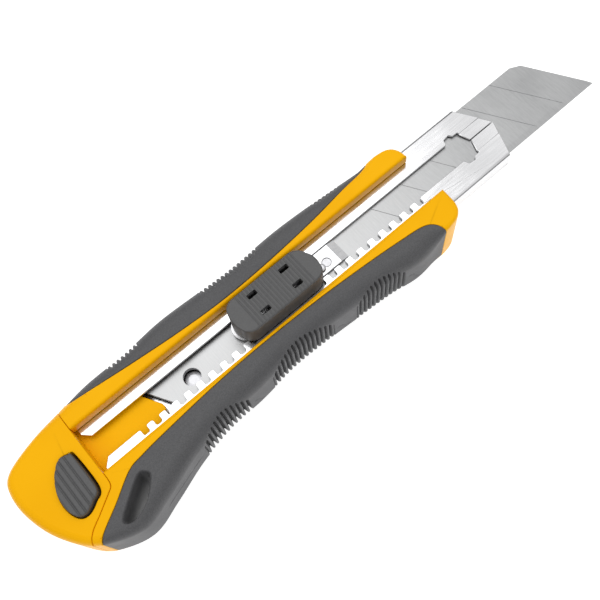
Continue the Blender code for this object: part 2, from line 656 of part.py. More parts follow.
def make_pawl():
    """The tooth that drops into a notch of the lower lip, and the bowed leaf behind it."""
    slack = 0.00004
    low, high = CHANNEL_TOP - SHEET + slack, CHANNEL_TOP - slack
    body_low, body_high = PAWL_BODY_Y
    neck_y = body_low - 2 * GAP
    side = [
        (PAWL_TIP_HALF, NOTCH_ROOT_Y + GAP), (PAWL_ROOT_HALF, neck_y), (PAWL_ROOT_HALF, body_low),
        (PAWL_BODY_HALF, body_low), (PAWL_BODY_HALF, body_high),
    ]
    outline = [(PAWL_X + dx, y) for dx, y in side] + [(PAWL_X - dx, y) for dx, y in reversed(side)]
    prism("lock_pawl", outline, low, high, "spring_steel", (PAWL_X, 0, low))
    steps = 12
    half = PAWL_BODY_HALF - 0.0002
    path = []
    for i in range(steps + 1):
        t = i / steps
        y = PAWL_SPRING_Y - PAWL_SPRING_BOW * math.sin(math.pi * t) ** 2
        path.append((PAWL_X - half + 2 * half * t, y, (low + high) / 2))
    strip("pawl_spring", path, 0.0005, 0.0002, (0, 0, 1), "spring_steel", (PAWL_X, PAWL_SPRING_Y, low))


def button_outline():
    half, corner, bulge, count = BUTTON_HALF, BUTTON_CORNER, BUTTON_BULGE, 8
    straight = half - corner
    front = arc_end(BUTTON_FRONT_X, straight, bulge / 2, count, 1)
    rear = arc_end(BUTTON_REAR_X, straight, bulge / 2, count, -1)
    front_x, rear_x = BUTTON_FRONT_X - corner - bulge, BUTTON_REAR_X + corner + bulge
    return (
        front + corner_points(front[-1], (front_x, half), 4) + corner_points((rear_x, half), rear[0], 4)
        + rear + corner_points(rear[-1], (rear_x, -half), 4) + corner_points((front_x, -half), front[0], 4)
    )


def corner_points(start, end, count):
    """A quarter ellipse that leaves start along Y or X and arrives at end along the other axis."""
    leaves_along_y = abs(start[1]) < abs(end[1])
    points = []
    for i in range(1 if leaves_along_y else 0, count + 1 if leaves_along_y else count):
        t = math.pi / 2 * i / count
        if leaves_along_y:
            x = end[0] + (start[0] - end[0]) * math.cos(t)
            y = start[1] + (end[1] - start[1]) * math.sin(t)
        else:
            x = start[0] + (end[0] - start[0]) * math.sin(t)
            y = end[1] + (start[1] - end[1]) * math.cos(t)
        points.append((x, y))
    return points


def button_solid(name, outline, base, top, origin):
    """A push button's body: upright walls and a softened upper edge."""
    rings = [[(x, y, z) for x, y in outline] for z in (base, top - 0.0006)]
    for drop, inset in ((0.00025, 0.00012), (0.0, 0.0005)):
        rings.append([(x, y, top - drop) for x, y in inset_points(outline, inset)])
    return add_object(name, skin_rings(rings), "gray_hard", origin)


def make_button():
    button = button_solid("slide_button", button_outline(), BUTTON_BASE, BUTTON_TOP, (BUTTON_MID_X, 0, BUTTON_BASE))
    rear, front, half = BUTTON_HOLLOW
    cut(button, block("cut_button_inside", rear, front, -half, half, BUTTON_BASE - OVERLAP, BUTTON_CEILING))
    long_half, short_half = SOCKET_HALF
    for tag, (x, y) in prong_places().items():
        cut(button, block("cut_socket_" + tag, x - long_half, x + long_half, y - short_half, y + short_half,
                          BUTTON_CEILING - OVERLAP, BUTTON_TOP + OVERLAP))
    cut(button, groove_cutter("cut_button_grooves", BUTTON_MID_X - 0.0004, BUTTON_RIB_PITCH, BUTTON_RIB_COUNT,
                              (-0.006, 0.006), BUTTON_TOP, BUTTON_RIB_DEPTH))
    return button


def groove_cutter(name, mid_x, pitch, count, reach, top_z, depth):
    """Evenly spaced V grooves along Y."""
    bm = bmesh.new()
    section = [(-depth * 1.5, GAP), (0.0, -depth), (depth * 1.5, GAP)]
    for i in range(count):
        x = mid_x + pitch * (i - (count - 1) / 2)
        skin_rings([[(x + dx, y, top_z + dz) for dx, dz in section] for y in reach], bm)
    return add_object(name, bm)


# ---- end cap ----------------------------------------------------------------------
def tongue_outline():
    """The tongue that closes the magazine; its front lies parallel to the blades' tails."""
    half = CHANNEL_HALF - SHEET - TONGUE_SIDE_CLEAR
    tail_x = BLADE_TIP_X + SPARE_SHIFT_X - BLADE_LENGTH - TONGUE_NOSE_CLEAR
    corner_y = -0.0010
    corner_x = tail_x + (BLADE_WIDTH / 2 - corner_y) / BLADE_TAN
    return [
        (TONGUE_ROOT_X, -half), (-0.0412, -half), (-0.0406, -half + 0.0006), (-0.0406, -0.0044),
        (-0.0400, -0.0039), (corner_x - 0.0009, corner_y - 0.0025), (corner_x - 0.0002, corner_y - 0.0017),
        (corner_x + 0.0001, corner_y - 0.0008), (corner_x, corner_y), (tail_x + 0.0002, half), (TONGUE_ROOT_X, half),
    ]


def make_cap():
    cap = handle_solid("end_cap", "yellow_abs")
    cut(cap, prism("cut_body_side", seam_side(-GAP / 2, 0.060), BELOW, ABOVE))
    join(cap, prism("tongue", tongue_outline(), CHANNEL_BOTTOM + SHEET + GAP, TONGUE_TOP))
    recess = inset_points(smooth_points(CAP_BUTTON_OUTLINE, 2), -CAP_BUTTON_GAP)
    recess = [(x + RECESS_SHIFT[0], y + RECESS_SHIFT[1]) for x, y in recess]
    cut(cap, prism("cut_recess", recess, RECESS_FLOOR, ABOVE))
    seat = circle_points(*CAP_SPRING, CAP_SPRING_SEAT, 20)
    cut(cap, prism("cut_spring_seat", seat, CAP_SPRING_LEVELS[0], RECESS_FLOOR + OVERLAP / 2))
    cut(cap, latch_pocket("cut_latch_way", HOOK_X[0] - OVERLAP, SEAM_X + OVERLAP, RECESS_FLOOR, HOOK_TOOTH_TOP + GAP))
    return cap


def make_cap_button():
    """The push button of the end cap, with its latch hook towards the handle and the spring below."""
    top, base = HANDLE_THICK + CAP_BUTTON_PROUD, CAP_BUTTON_BASE
    button = button_solid("cap_button", smooth_points(CAP_BUTTON_OUTLINE, 2), base, top, (*CAP_SPRING, base))
    rear, front = HOOK_X
    sides = (HOOK_Y - HOOK_HALF, HOOK_Y + HOOK_HALF)
    join(button, block("hook_shank", rear, front, *sides, base, HOOK_TOP))
    join(button, block("hook_tooth", HOOK_TOOTH_X, front, *sides, HOOK_TOP - 0.0005, HOOK_TOOTH_TOP))
    seat = circle_points(*CAP_SPRING, CAP_SPRING_SEAT - 0.0002, 20)
    cut(button, prism("cut_button_spring_seat", seat, base - OVERLAP, CAP_SPRING_LEVELS[1]))
    cut(button, groove_cutter("cut_cap_grooves", -0.0650, CAP_RIB_PITCH, CAP_RIB_COUNT, (-0.0095, 0.0008), top,
                              CAP_RIB_DEPTH))
    low, high = CAP_SPRING_LEVELS
    coil("cap_button_spring", *CAP_SPRING, low + GAP, high - GAP, CAP_SPRING_RADIUS, CAP_SPRING_WIRE, 5,
         "spring_steel")
    return button


def clear_scene():
    for old in list(bpy.data.objects):
        bpy.data.objects.remove(old, do_unlink=True)


def main():
    clear_scene()
    make_body()
    make_grips()
    make_channel()
    make_rivets()
    make_blades()
    make_magazine_spring()
    make_carrier()
    make_carriage_hardware()
    make_pawl()
    make_button()
    make_cap()
    make_cap_button()


main()
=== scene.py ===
import math

import bmesh
import bpy
from mathutils import Matrix, Vector


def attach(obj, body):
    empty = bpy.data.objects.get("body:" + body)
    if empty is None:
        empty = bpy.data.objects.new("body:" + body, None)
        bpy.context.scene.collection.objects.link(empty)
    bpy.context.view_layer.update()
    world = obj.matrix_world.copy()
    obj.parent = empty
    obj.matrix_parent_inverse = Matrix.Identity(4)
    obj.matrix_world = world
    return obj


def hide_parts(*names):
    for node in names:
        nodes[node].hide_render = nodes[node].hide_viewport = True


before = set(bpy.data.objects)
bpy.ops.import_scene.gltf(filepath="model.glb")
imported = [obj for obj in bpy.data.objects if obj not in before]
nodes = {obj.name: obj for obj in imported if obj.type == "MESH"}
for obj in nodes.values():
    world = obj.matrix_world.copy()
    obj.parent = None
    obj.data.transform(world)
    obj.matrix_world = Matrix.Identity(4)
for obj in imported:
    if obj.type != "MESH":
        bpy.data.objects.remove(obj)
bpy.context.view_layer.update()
print("frame loaded:", len(nodes), "nodes")


def curveThrough(points, steps, closed=True):
    count = len(points)
    spans = count if closed else count - 1
    curve = []
    for i in range(spans):
        around = [(i + k) % count if closed else min(max(i + k, 0), count - 1) for k in (-1, 0, 1, 2)]
        p0, p1, p2, p3 = (Vector(points[k]) for k in around)
        for s in range(steps):
            t = s / steps
            pull = (p2 - p0) * t + (2 * p0 - 5 * p1 + 4 * p2 - p3) * t ** 2
            curve.append(tuple(p1 + 0.5 * (pull + (3 * p1 - p0 - 3 * p2 + p3) * t ** 3)))
    if not closed:
        curve.append(tuple(points[-1]))
    return curve


def inset(points, depths):
    moved = []
    for i, point in enumerate(points):
        before = (Vector(point) - Vector(points[i - 1])).normalized()
        after = (Vector(points[(i + 1) % len(points)]) - Vector(point)).normalized()
        along = (before + after).normalized()
        stretch = depths[i] / max(along.dot(after), 0.5)
        moved.append((point[0] - along.y * stretch, point[1] + along.x * stretch))
    return moved


def circle(x, y, radius, count=48):
    turn = 2 * math.pi / count
    return [(x + radius * math.cos(turn * i), y + radius * math.sin(turn * i)) for i in range(count)]


def fade(value, low, high):
    t = min(max((value - low) / (high - low), 0), 1)
    return t * t * (3 - 2 * t)


def newObject(name, bm):
    bmesh.ops.recalc_face_normals(bm, faces=bm.faces)
    mesh = bpy.data.meshes.new(name)
    bm.to_mesh(mesh)
    bm.free()
    made = bpy.data.objects.new(name, mesh)
    bpy.context.scene.collection.objects.link(made)
    return made


def skinRings(rings, bm=None):
    bm = bm or bmesh.new()
    loops = [[bm.verts.new(p) for p in ring] for ring in rings]
    count = len(loops[0])
    for low, high in zip(loops, loops[1:]):
        for i in range(count):
            k = (i + 1) % count
            bm.faces.new((low[i], low[k], high[k], high[i]))
    bm.faces.new(list(reversed(loops[0])))
    bm.faces.new(loops[-1])
    return bm


def prism(name, outline, z0, z1):
    return newObject(name, skinRings([[(x, y, z) for x, y in outline] for z in (z0, z1)]))


def block(name, x0, x1, y0, y1, z0, z1):
    return prism(name, [(x0, y0), (x1, y0), (x1, y1), (x0, y1)], z0, z1)


def select(obj):
    bpy.ops.object.select_all(action="DESELECT")
    obj.select_set(True)
    bpy.context.view_layer.objects.active = obj


def carve(target, other, operation="DIFFERENCE"):
    select(target)
    step = target.modifiers.new("carve", "BOOLEAN")
    step.operation = operation
    step.solver = "EXACT"
    step.object = other
    bpy.ops.object.modifier_apply(modifier=step.name)
    bpy.data.objects.remove(other, do_unlink=True)
    return target


def soften(obj, width, segments=3, angle=34, merge=0.00002):
    select(obj)
    bpy.ops.object.mode_set(mode="EDIT")
    bpy.ops.mesh.select_all(action="SELECT")
    bpy.ops.mesh.remove_doubles(threshold=merge)
    bpy.ops.mesh.select_mode(type="FACE")
    bpy.ops.mesh.select_all(action="DESELECT")
    bpy.ops.mesh.select_face_by_sides(number=4, type="GREATER")
    bpy.ops.mesh.quads_convert_to_tris(ngon_method="BEAUTY")
    bpy.ops.object.mode_set(mode="OBJECT")
    step = obj.modifiers.new("soften", "BEVEL")
    step.width = width
    step.segments = segments
    step.limit_method = "ANGLE"
    step.angle_limit = math.radians(angle)
    step.use_clamp_overlap = False
    step.miter_outer = "MITER_ARC"
    bpy.ops.object.modifier_apply(modifier=step.name)
    return obj


# flattens the stray points that the bevel leaves off the flat faces
def holdInside(obj, low=0.0, high=0.016):
    for vertex in obj.data.vertices:
        vertex.co.z = min(max(vertex.co.z, low), high)


def shade(obj, angle=38):
    select(obj)
    bpy.ops.object.shade_smooth_by_angle(angle=math.radians(angle))
    for face in obj.data.polygons:
        if abs(face.normal.z) > 0.99995:
            face.use_smooth = False
    return obj


def finishPiece(obj, material, body, slot, *replaced):
    obj.data.materials.clear()
    obj.data.materials.append(material)
    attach(obj, body)
    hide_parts(*replaced)
    print("made", obj.name, len(obj.data.polygons), "faces")
    return obj


class Sock:
    def __init__(self, tree, socket=None):
        self.tree = tree
        self.socket = socket

    def node(self, kind, settings=None, inputs=None, out=0):
        made = self.tree.nodes.new(kind)
        for key, value in (settings or {}).items():
            setattr(made, key, value)
        for key, value in (inputs or {}).items():
            if isinstance(value, Sock):
                self.tree.links.new(value.socket, made.inputs[key])
            else:
                made.inputs[key].default_value = value
        return Sock(self.tree, made.outputs[out])

    def calc(self, operation, a, b=0.0):
        return self.node("ShaderNodeMath", {"operation": operation}, {0: a, 1: b})

    def __add__(self, other):
        return self.calc("ADD", self, other)

    def __radd__(self, other):
        return self.calc("ADD", other, self)

    def __sub__(self, other):
        return self.calc("SUBTRACT", self, other)

    def __rsub__(self, other):
        return self.calc("SUBTRACT", other, self)

    def __mul__(self, other):
        return self.calc("MULTIPLY", self, other)

    def __rmul__(self, other):
        return self.calc("MULTIPLY", other, self)

    def remap(self, low, high, toLow, toHigh):
        return self.node("ShaderNodeMapRange", {"clamp": True},
                         {0: self, 1: low, 2: high, 3: toLow, 4: toHigh})

    def noise(self, vector, scale, detail=3.0, rough=0.5):
        return self.node("ShaderNodeTexNoise", None,
                         {"Vector": vector, "Scale": scale, "Detail": detail, "Roughness": rough})

    def stretched(self, vector, factors):
        return self.node("ShaderNodeVectorMath", {"operation": "MULTIPLY"}, {0: vector, 1: factors})

    def mixColor(self, factor, a, b):
        return self.node("ShaderNodeMix", {"data_type": "RGBA"}, {0: factor, 6: a, 7: b}, 2)

    def bump(self, height, strength, distance, under=None):
        inputs = {"Strength": strength, "Distance": distance, "Height": height}
        if under:
            inputs["Normal"] = under
        return self.node("ShaderNodeBump", None, inputs)


def newMaterial(name, **constants):
    made = bpy.data.materials.new(name)
    made.use_nodes = True
    shader = made.node_tree.nodes["Principled BSDF"]
    for key, value in constants.items():
        shader.inputs[key.replace("_", " ")].default_value = value
    kit = Sock(made.node_tree)
    coords = kit.node("ShaderNodeTexCoord", None, None, 3)
    return made, shader, kit, coords


def plug(shader, kit, **sockets):
    for key, sock in sockets.items():
        kit.tree.links.new(sock.socket, shader.inputs[key.replace("_", " ")])


def yellowPlastic(name):
    made, shader, kit, at = newMaterial(name, Specular_IOR_Level=0.36, Specular_Tint=(1.0, 0.75, 0.12, 1))
    cloud = kit.noise(at, 55.0, 2.0)
    base = kit.mixColor(cloud.remap(0.35, 0.65, 0.0, 1.0),
                        (0.935, 0.446, 0.0010, 1), (0.965, 0.470, 0.0014, 1))
    speck = kit.noise(at, 2600.0, 2.0, 0.6)
    rough = kit.noise(at, 240.0, 4.0).remap(0.3, 0.7, 0.33, 0.42)
    grain = kit.bump(speck, 0.10, 0.00004)
    waves = kit.bump(kit.noise(at, 120.0, 2.0), 0.10, 0.0002, grain)
    plug(shader, kit, Base_Color=base, Roughness=rough, Normal=waves)
    return made


def softGrip(name):
    made, shader, kit, at = newMaterial(name, Specular_IOR_Level=0.42, Sheen_Weight=0.08, Sheen_Roughness=0.5)
    fine = kit.noise(at, 3400.0, 3.0, 0.65)
    cloud = kit.noise(at, 160.0, 4.0, 0.6)
    tone = fine.remap(0.35, 0.65, 0.0, 0.75) + cloud.remap(0.3, 0.7, 0.0, 0.25)
    base = kit.mixColor(tone, (0.062, 0.062, 0.065, 1), (0.098, 0.098, 0.102, 1))
    rough = cloud.remap(0.3, 0.7, 0.50, 0.62)
    pebble = kit.node("ShaderNodeTexVoronoi", {"feature": "SMOOTH_F1"}, {"Vector": at, "Scale": 2100.0})
    grain = kit.bump(pebble, 0.30, 0.00006)
    dust = kit.bump(fine, 0.25, 0.00004, grain)
    plug(shader, kit, Base_Color=base, Roughness=rough, Normal=dust)
    return made


def hardGray(name):
    made, shader, kit, at = newMaterial(name, Specular_IOR_Level=0.45)
    fine = kit.noise(at, 2800.0, 3.0, 0.6)
    cloud = kit.noise(at, 200.0, 3.0)
    tone = fine.remap(0.35, 0.65, 0.0, 0.6) + cloud.remap(0.3, 0.7, 0.0, 0.4)
    base = kit.mixColor(tone, (0.073, 0.073, 0.074, 1), (0.096, 0.096, 0.097, 1))
    rough = cloud.remap(0.3, 0.7, 0.40, 0.50)
    grain = kit.bump(fine, 0.18, 0.00004)
    plug(shader, kit, Base_Color=base, Roughness=rough, Normal=grain)
    return made


def brushedSteel(name, dark, light, rough, direction, depth=0.12):
    made, shader, kit, at = newMaterial(name, Metallic=1.0)
    lines = kit.noise(kit.stretched(at, direction), 1.0, 4.0, 0.6)
    smudge = kit.noise(at, 90.0, 3.0, 0.55)
    tone = lines.remap(0.3, 0.7, 0.0, 0.55) + smudge.remap(0.3, 0.7, 0.0, 0.45)
    base = kit.mixColor(tone, dark, light)
    gloss = smudge.remap(0.3, 0.7, rough - 0.04, rough + 0.05) + lines.remap(0.3, 0.7, -0.03, 0.03)
    marks = kit.bump(lines, depth, 0.00003)
    plug(shader, kit, Base_Color=base, Roughness=gloss, Normal=marks)
    return made


yellow = yellowPlastic("yellow_moulded")
yellowCap = yellowPlastic("yellow_cap")
rubber = softGrip("gray_rubber")
grayPlastic = hardGray("gray_button")
sheetSteel = brushedSteel("sheet_steel", (0.68, 0.68, 0.69, 1), (0.80, 0.80, 0.81, 1), 0.15,
                          (160, 2600, 2600), 0.05)
plateSteel = brushedSteel("plate_steel", (0.54, 0.54, 0.55, 1), (0.70, 0.70, 0.71, 1), 0.26,
                          (220, 2400, 2400))
bladeSteel = brushedSteel("blade_steel_ground", (0.36, 0.363, 0.366, 1), (0.47, 0.473, 0.475, 1), 0.36,
                          (3000, 300, 3000), 0.10)
springSteel = brushedSteel("spring_steel_drawn", (0.36, 0.36, 0.37, 1), (0.56, 0.56, 0.58, 1), 0.30,
                           (900, 900, 2400))
print("materials ready")


silhouette = [
    (0.0462, -0.0090), (0.0465, -0.0030), (0.0465, 0.0030), (0.0462, 0.0080), (0.0456, 0.0098),
    (0.0445, 0.0110), (0.0428, 0.0117), (0.0394, 0.0121), (0.0330, 0.0126),
    (0.0200, 0.0137), (0.0080, 0.0142), (-0.0050, 0.0138),
    (-0.0150, 0.0142), (-0.0270, 0.0147), (-0.0380, 0.0139), (-0.0500, 0.0137), (-0.0600, 0.0121),
    (-0.0700, 0.0098),
    (-0.0752, 0.0075), (-0.0770, 0.0040), (-0.0770, -0.0020), (-0.0749, -0.0093), (-0.0706, -0.0162),
    (-0.0659, -0.0196), (-0.0582, -0.0219), (-0.0500, -0.0197), (-0.0400, -0.0165), (-0.0300, -0.0146),
    (-0.0195, -0.0142), (-0.0090, -0.0132), (0.0010, -0.0134), (0.0115, -0.0141), (0.0220, -0.0150),
    (0.0300, -0.0162), (0.0375, -0.0154), (0.0427, -0.0146), (0.0449, -0.0133), (0.0459, -0.0114),
]
upperEdge = [
    (-0.0580, 0.0146), (-0.0550, 0.0119), (-0.0450, 0.0103), (-0.0350, 0.0091), (-0.0250, 0.0081),
    (-0.0130, 0.0074), (0.0, 0.0076), (0.0150, 0.0086), (0.0270, 0.0100), (0.0365, 0.0114), (0.0395, 0.0150),
]
lowerEdge = [
    (0.0396, -0.0190), (0.0391, -0.0150), (0.0378, -0.0120), (0.0350, -0.0105), (0.0290, -0.0097),
    (0.0200, -0.0088), (0.0050, -0.00775), (-0.0100, -0.0073), (-0.0250, -0.0075), (-0.0400, -0.0084),
    (-0.0490, -0.0092),
    (-0.0535, -0.0101), (-0.0600, -0.0140), (-0.0650, -0.0168), (-0.0676, -0.0188), (-0.0700, -0.0225),
]
capSeam = [
    (-0.0582, -0.0060), (-0.0582, -0.0085), (-0.0586, -0.0101), (-0.0600, -0.0111), (-0.0640, -0.0135),
    (-0.0676, -0.0157), (-0.0700, -0.0190), (-0.0725, -0.0250),
]
capButtonShape = [
    (-0.0610, -0.0084), (-0.0610, 0.0008), (-0.0618, 0.0018), (-0.0634, 0.0023), (-0.0650, 0.0016),
    (-0.0673, -0.0011), (-0.0688, -0.0050), (-0.0688, -0.0084), (-0.0677, -0.0110), (-0.0658, -0.0116),
    (-0.0632, -0.0104),
]
lanyardShape = [
    (-0.0508, -0.0142), (-0.0510, -0.0127), (-0.0526, -0.0122), (-0.0570, -0.0150), (-0.0606, -0.0177),
    (-0.0605, -0.0190), (-0.0583, -0.0194), (-0.0547, -0.0179),
]
rivetPlaces = [(0.0380, 0.0), (-0.0295, -0.0007)]
# metres; "below" and "above" are where cutters start and end, "line" is half a visible joint line
handle = {"top": 0.016, "below": -0.001, "above": 0.020, "gap": 0.0003, "line": 0.00006, "slot": 0.00635,
          "seamX": -0.0582, "channelHalf": 0.0100, "channelTop": 0.0125, "channelBottom": 0.0073,
          "sheet": 0.0007, "rivetHole": 0.0018}
channelRear, channelFront = handle["seamX"] - 0.006, 0.050


def handleOutline():
    return inset(curveThrough(silhouette, 12), [0.00003] * len(silhouette) * 12)


def channelRoom():
    wide, gap = handle["channelHalf"] + handle["gap"], handle["gap"]
    return block("c", channelRear, channelFront, -wide, wide,
                 handle["channelBottom"] - gap, handle["channelTop"] + gap)


# the edge radius is small at the nose and at the cap's end
def rimRadius(x):
    front = 0.0034 + (0.0009 - 0.0034) * fade(x, 0.034, 0.041)
    return front + (0.0020 - front) * (1 - fade(x, -0.066, -0.056))


def handleSlab(name):
    outline = handleOutline()
    radii = [rimRadius(x) for x, _ in outline]
    arc = 8
    rings = []
    for side in (-1, 1):
        for i in range(arc + 1):
            turn = math.pi / 2 * ((1 - i / arc) if side < 0 else i / arc)
            flat = inset(outline, [r * (1 - math.cos(turn)) for r in radii])
            drop = 1 - math.sin(turn)
            level = [r * drop if side < 0 else handle["top"] - r * drop for r in radii]
            rings.append([(x, y, z) for (x, y), z in zip(flat, level)])
    return newObject(name, skinRings(rings))


def seamSide(shift, farX):
    line = [(handle["seamX"], 0.030)] + curveThrough(capSeam, 8, False)
    line = [(x + shift, y - shift) for x, y in line]
    far = [(farX, line[-1][1]), (farX, line[0][1])]
    return line + far if farX > 0 else line[::-1] + far[::-1]


def gripRegion(edge, side, grow):
    line = [(x, y - side * grow) for x, y in curveThrough(edge, 10, False)]
    return line + [(line[-1][0], side * 0.030), (line[0][0], side * 0.030)]


bodyValues = {"railRadius": 0.0008, "wellRadius": 0.0036, "wellDepth": 0.0016, "bevel": 0.00014}


def makeBody(v):
    low, high = handle["below"], handle["above"]
    body = handleSlab("body_shell")
    carve(body, channelRoom())
    slot, bend = handle["slot"], v["railRadius"]
    turns = [math.pi / 2 * i / 6 for i in range(7)]
    rail = [(slot + bend * (1 - math.cos(t)), handle["top"] - bend * (1 - math.sin(t))) for t in turns]
    flared = [(slot, handle["channelTop"])] + rail + [(slot + bend, high)]
    flared += [(-y, z) for y, z in reversed(flared)]
    rings = [[(x, y, z) for y, z in flared] for x in (channelRear, channelFront)]
    carve(body, newObject("c", skinRings(rings)))
    for x, y in rivetPlaces:
        hole = circle(x, y, handle["rivetHole"])
        carve(body, prism("c", hole, low, handle["channelBottom"] + handle["gap"]))
        carve(body, prism("c", circle(x, y, v["wellRadius"]), low, v["wellDepth"]))
    carve(body, prism("c", seamSide(handle["line"], -0.090), low, high))
    carve(body, prism("c", gripRegion(upperEdge, 1, handle["line"]), low, high))
    carve(body, prism("c", gripRegion(lowerEdge, -1, handle["line"]), low, high))
    # catch for the cap's hook
    carve(body, block("c", -0.0640, handle["seamX"], -0.0124, -0.0106, 0.0100, 0.0133))
    carve(body, block("c", -0.0598, handle["seamX"], -0.0124, -0.0106, 0.0130, 0.0143))
    soften(body, v["bevel"])
    holdInside(body)
    shade(body)
    return finishPiece(body, yellow, "handle", "yellow_abs", "handle_body")


makeBody(bodyValues)


def heightAt(line, x):
    for (xa, ya), (xb, yb) in zip(line, line[1:]):
        if min(xa, xb) <= x <= max(xa, xb) and xa != xb:
            return ya + (yb - ya) * (x - xa) / (xb - xa)
    return None


def spanAt(outline, x):
    ys = []
    for (xa, ya), (xb, yb) in zip(outline, outline[1:] + outline[:1]):
        if min(xa, xb) <= x <= max(xa, xb) and abs(xa - xb) > 1e-9:
            ys.append(ya + (yb - ya) * (x - xa) / (xb - xa))
    return (min(ys), max(ys)) if len(ys) > 1 else None


def ribDepth(zones, x, z):
    depth = 0.0
    for zone in zones:
        half = (zone["to"] - zone["from"]) / 2
        mid = zone["from"] + half
        away = abs(x - mid) / half
        if away >= 1:
            continue
        border = zone["low"] + (zone["high"] - zone["low"]) * math.sqrt(1 - away ** 2)
        inside = fade(border - z, 0.0, 0.0008) * fade(z, 0.0002, 0.0012) * fade(1 - away, 0.0, 0.05)
        phase = (x - zone["from"]) / zone["pitch"]
        wave = 0.5 - 0.5 * math.cos(2 * math.pi * phase)
        depth = max(depth, inside * zone["depth"] * (1 - wave) ** 2.0)
    return depth


def scoreDepth(marks, x, z):
    depth = 0.0
    for mark in marks:
        (xa, za), (xb, zb), bow = mark
        t = (x - xa) / (xb - xa)
        if 0 <= t <= 1:
            line = za + (zb - za) * t + bow * math.sin(2 * math.pi * t)
            off = abs(z - line)
            depth = max(depth, 0.00016 * (1 - fade(off, 0.0, 0.00028)) * fade(min(t, 1 - t), 0, 0.12))
    return depth


def makeGrip(name, edge, side, zones, marks):
    edgeLine = [(x, y + side * handle["line"]) for x, y in curveThrough(edge, 12, False)]
    outline = handleOutline()
    xs = []
    x = -0.0700
    while x < 0.0420:
        near = any(zone["from"] - 0.0005 < x < zone["to"] + 0.0005 for zone in zones)
        end = x > 0.0365 or x < -0.0520
        xs.append(x)
        x += 0.00010 if near else 0.00012 if end else 0.00040
    top = handle["top"]
    rings = []
    for x in xs:
        inner, wall = heightAt(edgeLine, x), spanAt(outline, x)[(side + 1) // 2]
        if inner is None or side * (wall - inner) < 0.00012:
            continue
        width = side * (wall - inner)
        bend = min(rimRadius(x) * 1.15, 0.0042)
        reach = min(bend, width)
        steps = 16
        quarter = []
        for i in range(steps + 1):
            turn = math.pi / 2 * i / steps
            reachOut = width - reach * (1 - math.cos(turn)) if width > bend else width * math.cos(turn)
            level = 1 - math.sin(turn)
            if width < bend:
                level = 1 - math.sin(math.acos(max(0.0, 1 - (width - reachOut) / bend)))
            quarter.append((reachOut, top - bend * level))
        lip = min(0.00022, width * 0.2)
        quarter = [(d, z) for d, z in quarter if d > lip * 1.5]
        peak = quarter[-1][1]
        for i in range(4):
            turn = math.pi / 2 * i / 3
            quarter.append((lip * (1 - math.sin(turn)), peak - lip * (1 - math.cos(turn))))
        rows = 30
        foot = quarter[0][1]
        wallPoints = [(width, top - foot + (2 * foot - top) * i / rows) for i in range(1, rows)]
        short = steps + 5 - len(quarter)
        (da, za), (db, zb) = quarter[:2]
        shares = [(i + 1) / (short + 1) for i in range(short)]
        quarter = quarter[:1] + [(da + (db - da) * t, za + (zb - za) * t) for t in shares] + quarter[1:]
        lower = [(d, top - z) for d, z in reversed(quarter)]
        section = lower + wallPoints + quarter
        ring = []
        for d, z in section:
            share = fade(d / max(width, 1e-6), 0.45, 0.85)
            sunk = ribDepth(zones, x, z) * share + scoreDepth(marks, x, z) * share
            ring.append((x, inner + side * max(d - sunk, 0), z))
        rings.append(ring)
    return newObject(name, skinRings(rings))


def finishGrip(grip, node):
    carve(grip, channelRoom())
    shade(grip, 50)
    return finishPiece(grip, rubber, "handle", "gray_soft", node)


lowerZones = [
    {"from": -0.0378, "to": -0.0226, "low": 0.0100, "high": 0.0152, "pitch": 0.00130, "depth": 0.00135},
    {"from": -0.0156, "to": 0.0042, "low": 0.0100, "high": 0.0152, "pitch": 0.00132, "depth": 0.00140},
    {"from": 0.0108, "to": 0.0258, "low": 0.0108, "high": 0.0152, "pitch": 0.00130, "depth": 0.00130},
]
lowerMarks = [
    ((-0.0222, 0.0068), (-0.0188, 0.0050), 0.0009), ((0.0046, 0.0066), (0.0090, 0.0052), 0.0009),
    ((0.0262, 0.0086), (0.0312, 0.0040), 0.0008), ((-0.0530, 0.0084), (-0.0386, 0.0080), 0.0003),
]
upperZones = [
    {"from": -0.0435, "to": -0.0345, "low": 0.0150, "high": 0.0165, "pitch": 0.00125, "depth": 0.00070},
    {"from": -0.0155, "to": 0.0025, "low": 0.0150, "high": 0.0165, "pitch": 0.00125, "depth": 0.00080},
    {"from": 0.0195, "to": 0.0285, "low": 0.0145, "high": 0.0160, "pitch": 0.00125, "depth": 0.00060},
]
lowerGrip = makeGrip("grip_lower_soft", lowerEdge, -1, lowerZones, lowerMarks)
slot = curveThrough(lanyardShape, 8)
mouth = [inset(slot, [-grow] * len(slot)) for grow in (0.00045, 0.0002, 0.0)]
levels = [(mouth[0], handle["below"]), (mouth[0], 0.0), (mouth[1], 0.00015), (mouth[2], 0.0006),
          (mouth[2], 0.0154), (mouth[1], 0.01585), (mouth[0], 0.0160), (mouth[0], handle["above"])]
carve(lowerGrip, newObject("c", skinRings([[(x, y, z) for x, y in flat] for flat, z in levels])))
finishGrip(lowerGrip, "lower_grip")
upperGrip = makeGrip("grip_upper_soft", upperEdge, 1, upperZones, [])
finishGrip(upperGrip, "upper_grip")


def roundedSection(half, low, high, radius, steps=5):
    points = []
    for cy, cz, start in ((half - radius, high - radius, 0), (-half + radius, high - radius, 1),
                          (-half + radius, low + radius, 2), (half - radius, low + radius, 3)):
        for i in range(steps + 1):
            turn = math.pi / 2 * (start + i / steps)
            points.append((cy + radius * math.cos(turn), cz + radius * math.sin(turn)))
    return points


